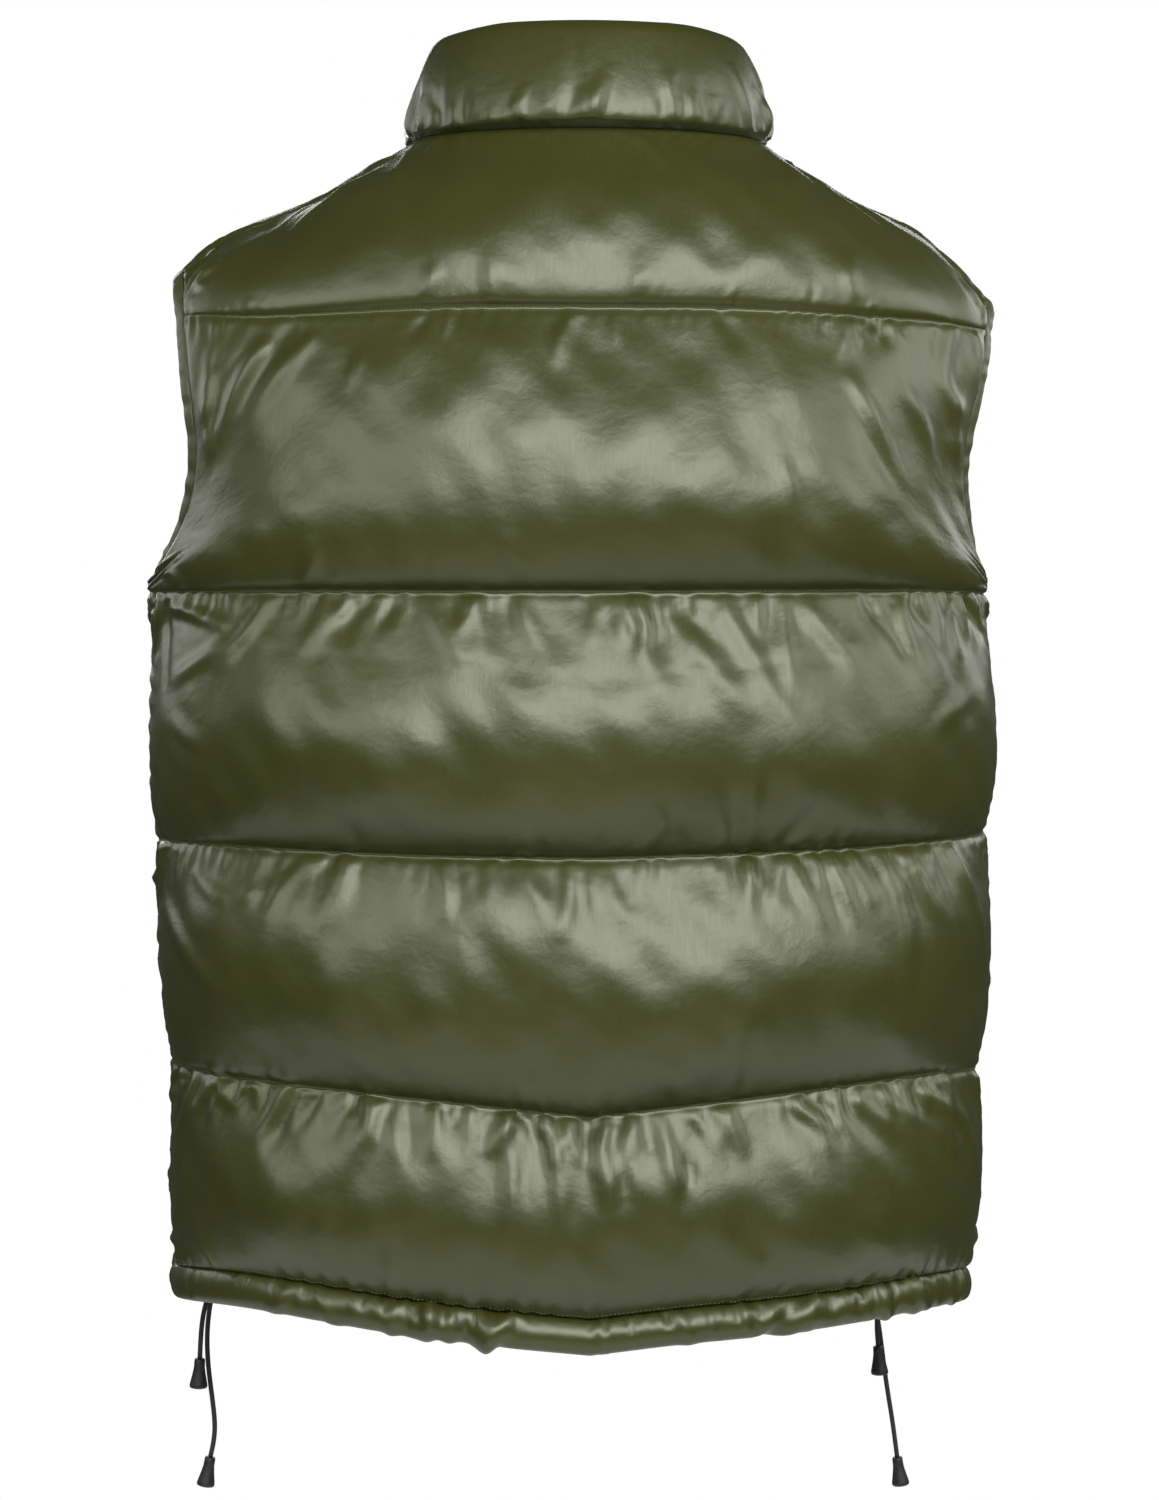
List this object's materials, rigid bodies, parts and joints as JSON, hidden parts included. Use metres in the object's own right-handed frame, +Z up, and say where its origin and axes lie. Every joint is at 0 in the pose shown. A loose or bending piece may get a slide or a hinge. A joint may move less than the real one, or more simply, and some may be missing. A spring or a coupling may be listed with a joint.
{
  "type": "puffer vest",
  "caption": "Quilted padded vest in its worn shape, open at neck, armholes and hem, with a stand collar, a closed front zip and hem drawcord ends.",
  "frame": {"origin": "where the wearer carries the vest: over the middle of the body, level with the middle of the shoulders", "axes": "+Z up, -Y to the front (the zip), +X to the wearer's left"},
  "size_m": [0.5145, 0.3564, 0.9143],
  "materials": {
    "shell_olive": "glossy coated nylon, fine plain weave",
    "binding_olive": "matt stretch binding",
    "zip_tape_olive": "matt woven tape",
    "zip_teeth_dark": "satin moulded teeth",
    "zip_metal_dark": "satin dark plating",
    "cord_black": "matt braided elastic",
    "cord_end_black": "satin moulded"
  },
  "bodies": {
    "vest": {"back_panel": "shell_olive", "front_left": "shell_olive", "front_right": "shell_olive", "collar": "shell_olive", "armhole_band_left": "binding_olive", "armhole_band_right": "binding_olive", "hem_casing_back": "shell_olive", "hem_casing_left": "shell_olive", "hem_casing_right": "shell_olive", "zip_tape_left": "zip_tape_olive", "zip_tape_right": "zip_tape_olive", "zip_chain": "zip_teeth_dark", "zip_slider": "zip_metal_dark", "zip_stop_left": "zip_metal_dark", "zip_stop_right": "zip_metal_dark", "zip_box": "zip_metal_dark", "cord_eyelet_left": "zip_metal_dark", "cord_eyelet_right": "zip_metal_dark", "cord_left_long": "cord_black", "cord_left_short": "cord_black", "cord_right_long": "cord_black", "cord_right_short": "cord_black", "cord_end_left_long": "cord_end_black", "cord_end_left_short": "cord_end_black", "cord_end_right_long": "cord_end_black", "cord_end_right_short": "cord_end_black"},
    "pull": {"zip_pull": "zip_metal_dark"}
  },
  "joints": [
    {"name": "pull_swing", "type": "hinge", "parent": "vest", "child": "pull", "pos_m": [-0.01, -0.08057, 0.03088], "axis": [-1, 0, 0], "range_deg": [0, 150]}
  ]
}
